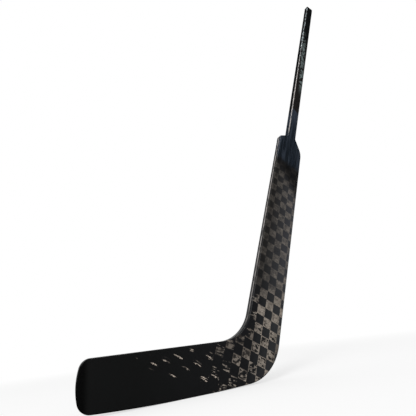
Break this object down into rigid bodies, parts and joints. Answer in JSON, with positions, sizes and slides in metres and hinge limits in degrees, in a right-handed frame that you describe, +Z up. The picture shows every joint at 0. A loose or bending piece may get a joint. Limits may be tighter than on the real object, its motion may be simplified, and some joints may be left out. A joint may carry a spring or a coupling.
{
  "type": "ice hockey goalkeeper stick",
  "caption": "One-piece composite goalkeeper's hockey stick: curved thin blade, wide flat paddle with sloped shoulders and a long rectangular shaft ending in a plug.",
  "frame": {"origin": "middle of the flat stretch of the blade's sole, where the blade stands on the ice", "axes": "+Z up from the ice, -X towards the toe of the blade, -Y out of the pictured front face; the shaft leans 22.9 degrees from +Z towards +X"},
  "size_m": [0.9531, 0.0226, 1.4173],
  "materials": {
    "skin_weave": "clear-coated checked carbon weave with flake pattern",
    "edge_laminate": "clear-coated dark carbon, lengthwise fibre",
    "neck_laminate": "clear-coated blue-black lengthwise carbon",
    "shaft_laminate": "clear-coated dark carbon, silver-grey flakes to the butt",
    "spine_laminate": "bare carbon tube",
    "block_foam": "dense fibre-filled foam",
    "core_foam": "light closed-cell foam",
    "rib_laminate": "bare carbon strip",
    "plug_rubber": "moulded black plastic"
  },
  "bodies": {
    "root": {"front_skin": "skin_weave", "back_skin": "skin_weave", "toe_edge": "edge_laminate", "blade_top_edge": "edge_laminate", "sole_edge": "edge_laminate", "throat_edge": "edge_laminate", "heel_edge": "edge_laminate", "heel_block": "block_foam", "blade_upper_core": "core_foam", "blade_lower_core": "core_foam", "blade_rib": "rib_laminate", "toe_side_core": "core_foam", "back_side_core": "core_foam", "toe_side_rail": "edge_laminate", "back_side_rail": "edge_laminate", "neck_collar": "neck_laminate", "shaft_sleeve": "shaft_laminate", "spine_tube": "spine_laminate", "butt_plug": "plug_rubber"}
  },
  "joints": []
}
